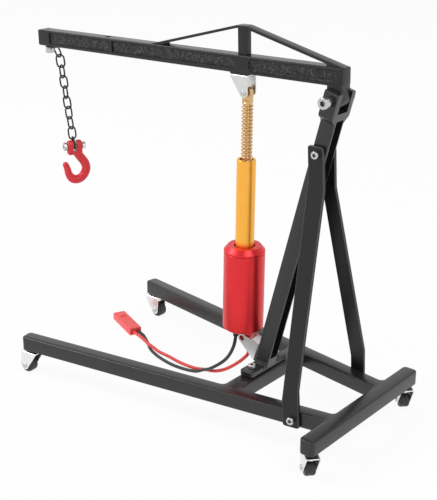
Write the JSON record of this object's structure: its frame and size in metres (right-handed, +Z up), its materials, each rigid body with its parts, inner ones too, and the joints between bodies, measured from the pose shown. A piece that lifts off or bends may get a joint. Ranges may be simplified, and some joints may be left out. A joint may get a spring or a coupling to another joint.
{
  "type": "engine hoist crane",
  "caption": "Small engine hoist crane on swivel casters, its trussed boom lifted by an electric lead-screw actuator, with a chain and clevis hook.",
  "frame": {"origin": "on the floor, under the middle of the crane's footprint", "axes": "+Z up, -Y towards the boom's tip and the open ends of the legs, +X towards the side with the pivot screw's head"},
  "size_m": [0.1082, 0.2174, 0.1942],
  "materials": {
    "black_paint": "gloss black paint on a casting",
    "dark_paint": "gloss black paint on flat bar",
    "zinc_steel": "bright zinc plating",
    "plain_steel": "plain turned steel",
    "red_anodised": "satin red anodising",
    "gold_anodised": "bright gold anodising",
    "brass": "turned and oiled",
    "red_pin": "dark red anodising",
    "black_wheel": "moulded black",
    "black_steel": "blackened wire",
    "red_paint": "satin red paint",
    "red_silicone": "smooth silicone insulation",
    "black_silicone": "smooth silicone insulation",
    "red_plastic": "moulded red",
    "black_plastic": "moulded black"
  },
  "bodies": {
    "base": {"base_frame": "black_paint", "mast": "black_paint", "mast_foot_screw_near": "zinc_steel", "mast_foot_screw_far": "zinc_steel", "brace_top_screw_near": "zinc_steel", "brace_top_screw_far": "zinc_steel", "brace_bottom_screw_near": "zinc_steel", "brace_bottom_screw_far": "zinc_steel", "brace_near": "dark_paint", "brace_far": "dark_paint", "boom_pivot_screw": "zinc_steel", "boom_pivot_nut": "zinc_steel", "lower_clevis": "zinc_steel", "lower_clevis_screw": "zinc_steel", "caster_screw_front_near": "zinc_steel", "caster_screw_front_far": "zinc_steel", "caster_screw_rear_near": "zinc_steel", "caster_screw_rear_far": "zinc_steel", "red_wire": "red_silicone", "black_wire": "black_silicone", "wire_sleeve": "black_silicone", "connector": "red_plastic"},
    "boom_arm": {"boom": "black_paint", "upper_clevis": "zinc_steel", "upper_clevis_screw": "zinc_steel", "chain_screw": "zinc_steel"},
    "drive_unit": {"motor_housing": "red_anodised", "housing_cap": "red_anodised", "motor": "plain_steel", "gearbox": "plain_steel", "thrust_bearing": "plain_steel", "lower_pivot_pin": "red_pin", "wire_grommet": "black_plastic"},
    "drive_tube": {"actuator_tube": "gold_anodised", "drive_nut": "brass", "coupler": "brass"},
    "screw_rod": {"lead_screw": "brass"},
    "swivel_front_near": {"caster_bracket_front_near": "zinc_steel"},
    "swivel_front_far": {"caster_bracket_front_far": "zinc_steel"},
    "swivel_rear_near": {"caster_bracket_rear_near": "zinc_steel"},
    "swivel_rear_far": {"caster_bracket_rear_far": "zinc_steel"},
    "wheel_front_near": {"caster_wheel_front_near": "black_wheel"},
    "wheel_front_far": {"caster_wheel_front_far": "black_wheel"},
    "wheel_rear_near": {"caster_wheel_rear_near": "black_wheel"},
    "wheel_rear_far": {"caster_wheel_rear_far": "black_wheel"},
    "link_1": {"chain_link_1": "black_steel"},
    "link_2": {"chain_link_2": "black_steel"},
    "link_3": {"chain_link_3": "black_steel"},
    "link_4": {"chain_link_4": "black_steel"},
    "link_5": {"chain_link_5": "black_steel"},
    "link_6": {"chain_link_6": "black_steel"},
    "link_7": {"chain_link_7": "black_steel"},
    "link_8": {"chain_link_8": "black_steel"},
    "link_9": {"chain_link_9": "black_steel"},
    "link_10": {"chain_link_10": "black_steel"},
    "link_11": {"chain_link_11": "black_steel"},
    "hook_body": {"hook": "red_paint", "hook_bolt": "zinc_steel", "hook_nut": "zinc_steel"}
  },
  "joints": [
    {"name": "boom_lift", "type": "hinge", "parent": "base", "child": "boom_arm", "pos_m": [0, 0.0823, 0.1671], "axis": [-1, 0, 0], "range_deg": [-30, 5]},
    {"name": "actuator_tilt", "type": "hinge", "parent": "base", "child": "drive_unit", "pos_m": [0, 0.0323, 0.0356], "axis": [1, 0, 0], "range_deg": [-5, 1.2]},
    {"name": "screw_extend", "type": "slide", "parent": "drive_unit", "child": "screw_rod", "axis": [0, 0.0102, 0.9999], "range_m": [-0.0255, 0.0045]},
    {"name": "drive_spin", "type": "hinge", "parent": "drive_unit", "child": "drive_tube", "pos_m": [0, 0.0302, 0.0356], "axis": [0, 0.0102, 0.9999], "range_deg": [-900, 5200]},
    {"name": "swivel_turn_front_near", "type": "hinge", "parent": "base", "child": "swivel_front_near", "pos_m": [0.0498, -0.0754, 0.0128], "axis": [0, 0, 1], "continuous": true},
    {"name": "swivel_turn_front_far", "type": "hinge", "parent": "base", "child": "swivel_front_far", "pos_m": [-0.0498, -0.0754, 0.0128], "axis": [0, 0, 1], "continuous": true},
    {"name": "swivel_turn_rear_near", "type": "hinge", "parent": "base", "child": "swivel_rear_near", "pos_m": [0.0423, 0.10276, 0.0128], "axis": [0, 0, 1], "continuous": true},
    {"name": "swivel_turn_rear_far", "type": "hinge", "parent": "base", "child": "swivel_rear_far", "pos_m": [-0.0423, 0.10276, 0.0128], "axis": [0, 0, 1], "continuous": true},
    {"name": "wheel_spin_front_near", "type": "hinge", "parent": "swivel_front_near", "child": "wheel_front_near", "pos_m": [0.04995, -0.0783, 0.0042], "axis": [0.9986, 0.0523, 0], "continuous": true},
    {"name": "wheel_spin_front_far", "type": "hinge", "parent": "swivel_front_far", "child": "wheel_front_far", "pos_m": [-0.0497, -0.0725, 0.0042], "axis": [0.9994, -0.0349, 0], "continuous": true},
    {"name": "wheel_spin_rear_near", "type": "hinge", "parent": "swivel_rear_near", "child": "wheel_rear_near", "pos_m": [0.04036, 0.1006, 0.0042], "axis": [0.7431, -0.6691, 0], "continuous": true},
    {"name": "wheel_spin_rear_far", "type": "hinge", "parent": "swivel_rear_far", "child": "wheel_rear_far", "pos_m": [-0.04439, 0.10075, 0.0042], "axis": [0.6947, -0.7193, 0], "continuous": true},
    {"name": "chain_swivel", "type": "hinge", "parent": "boom_arm", "child": "link_1", "pos_m": [0, -0.10364, 0.1657], "axis": [0, -0.0259, 0.9997], "range_deg": [-60, 60]},
    {"name": "link_2_swing", "type": "hinge", "parent": "link_1", "child": "link_2", "pos_m": [-0.00498, -0.10487, 0.1663], "axis": [0.2397, -0.9708, 0], "range_deg": [-30, 20]},
    {"name": "link_3_swing", "type": "hinge", "parent": "link_2", "child": "link_3", "pos_m": [-0.00647, -0.10301, 0.16093], "axis": [-0.9479, -0.2797, 0.1524], "range_deg": [-30, 30]},
    {"name": "link_4_swing", "type": "hinge", "parent": "link_3", "child": "link_4", "pos_m": [-0.0068, -0.10261, 0.1551], "axis": [-0.5091, 0.8534, 0.1116], "range_deg": [-30, 30]},
    {"name": "link_5_swing", "type": "hinge", "parent": "link_4", "child": "link_5", "pos_m": [-0.00721, -0.1021, 0.14931], "axis": [-0.9555, -0.2921, 0.0422], "range_deg": [-30, 30]},
    {"name": "link_6_swing", "type": "hinge", "parent": "link_5", "child": "link_6", "pos_m": [-0.00762, -0.10158, 0.14352], "axis": [-0.3197, 0.9416, 0.1059], "range_deg": [-30, 30]},
    {"name": "link_7_swing", "type": "hinge", "parent": "link_6", "child": "link_7", "pos_m": [-0.00803, -0.10107, 0.13773], "axis": [-0.9332, -0.3578, 0.0348], "range_deg": [-30, 30]},
    {"name": "link_8_swing", "type": "hinge", "parent": "link_7", "child": "link_8", "pos_m": [-0.00844, -0.10056, 0.13193], "axis": [-0.2361, 0.9663, 0.1021], "range_deg": [-30, 30]},
    {"name": "link_9_swing", "type": "hinge", "parent": "link_8", "child": "link_9", "pos_m": [-0.00886, -0.10005, 0.12614], "axis": [-0.9974, -0.0182, 0.0694], "range_deg": [-30, 30]},
    {"name": "link_10_swing", "type": "hinge", "parent": "link_9", "child": "link_10", "pos_m": [-0.00927, -0.09954, 0.12035], "axis": [0.1269, 0.9888, 0.0783], "range_deg": [-30, 30]},
    {"name": "link_11_swing", "type": "hinge", "parent": "link_10", "child": "link_11", "pos_m": [-0.00968, -0.09903, 0.11456], "axis": [-0.9574, 0.2738, 0.0923], "range_deg": [-30, 30]},
    {"name": "hook_swing", "type": "hinge", "parent": "link_11", "child": "hook_body", "pos_m": [-0.01009, -0.09852, 0.11041], "axis": [-0.856, 0.517, 0], "range_deg": [-30, 30]}
  ],
  "couplings": [
    {"joint": "actuator_tilt", "follows": "boom_lift", "ratio": 0.145},
    {"joint": "screw_extend", "follows": "boom_lift", "m_per_rad": 0.0478},
    {"joint": "drive_spin", "follows": "boom_lift", "ratio": -169.7}
  ]
}
